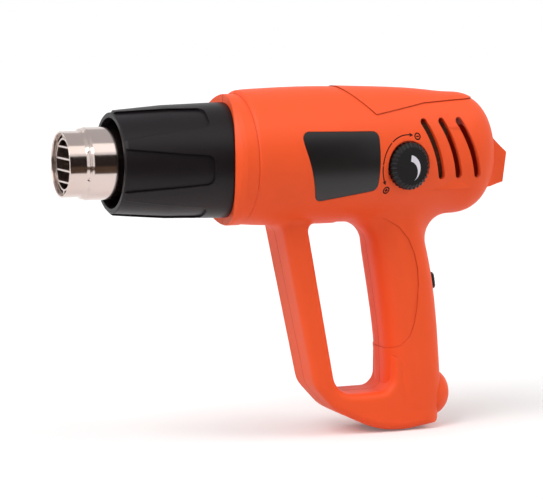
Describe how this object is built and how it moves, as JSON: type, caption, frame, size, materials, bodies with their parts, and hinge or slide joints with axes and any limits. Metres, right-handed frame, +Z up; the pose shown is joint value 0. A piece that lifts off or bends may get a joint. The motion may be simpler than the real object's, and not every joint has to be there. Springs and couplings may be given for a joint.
{
  "type": "hot-air gun",
  "caption": "Pistol-grip hot-air tool for embossing, with steel nozzle, black sleeve, side dial, thumb switch, vents and a closed hand loop.",
  "frame": {"origin": "centre of the nozzle's mouth", "axes": "+X from the nozzle to the rear along the barrel, -Y the side with the dial, +Z up"},
  "size_m": [0.2522, 0.0717, 0.1875],
  "materials": {
    "housing": "orange moulded plastic, fine satin texture",
    "sleeve": "near-black heat-resistant plastic, satin",
    "steel": "polished steel with a faint warm tint",
    "grille": "pressed steel strip",
    "mica": "mica sheet",
    "heater": "resistance wire",
    "badge": "satin black plate, bare",
    "knob": "black moulded plastic",
    "mark": "off-white inlay",
    "switch": "black moulded plastic",
    "rubber": "black rubber",
    "screw": "dark zinc-plated steel",
    "duct": "dark glass-filled plastic",
    "fan": "pale moulded plastic",
    "motor": "plated steel can",
    "magnet": "ferrite",
    "bush": "sintered bronze",
    "board": "brown circuit board",
    "heatsink": "extruded aluminium",
    "capacitor": "yellow moulded case",
    "block": "pale thermoplastic"
  },
  "bodies": {
    "housing": {"housing_left": "housing", "housing_right": "housing", "front_sleeve": "sleeve", "nozzle_tube": "steel", "nozzle_grille": "grille", "mica_liner": "mica", "heater_core": "mica", "heater_wire": "heater", "heater_base": "mica", "thermal_fuse": "heater", "fan_shroud": "duct", "motor_can": "motor", "motor_endcap": "duct", "motor_bushes": "bush", "motor_magnets": "magnet", "rectifier_board": "board", "badge_plate": "badge", "dial_nut": "screw", "potentiometer": "motor", "control_board": "board", "triac_heatsink": "heatsink", "switch_body": "switch", "terminal_block": "block", "suppression_capacitor": "capacitor", "cord_inlet": "rubber", "housing_screws": "screw"},
    "dial": {"dial_knob": "knob", "dial_mark": "mark", "dial_spindle": "heatsink"},
    "switch": {"switch_slider": "switch"},
    "rotor": {"fan_impeller": "fan", "motor_armature": "motor", "motor_shaft": "steel"}
  },
  "joints": [
    {"name": "dial_turn", "type": "hinge", "parent": "housing", "child": "dial", "pos_m": [0.183, -0.0306, -0.0038], "axis": [0.1736, -0.9848, 0], "range_deg": [-40, 120]},
    {"name": "switch_slide", "type": "slide", "parent": "housing", "child": "switch", "axis": [-0.1599, 0, 0.9871], "range_m": [0, 0.006]},
    {"name": "rotor_spin", "type": "hinge", "parent": "housing", "child": "rotor", "pos_m": [0.14, 0, 0], "axis": [1, 0, 0], "continuous": true}
  ]
}
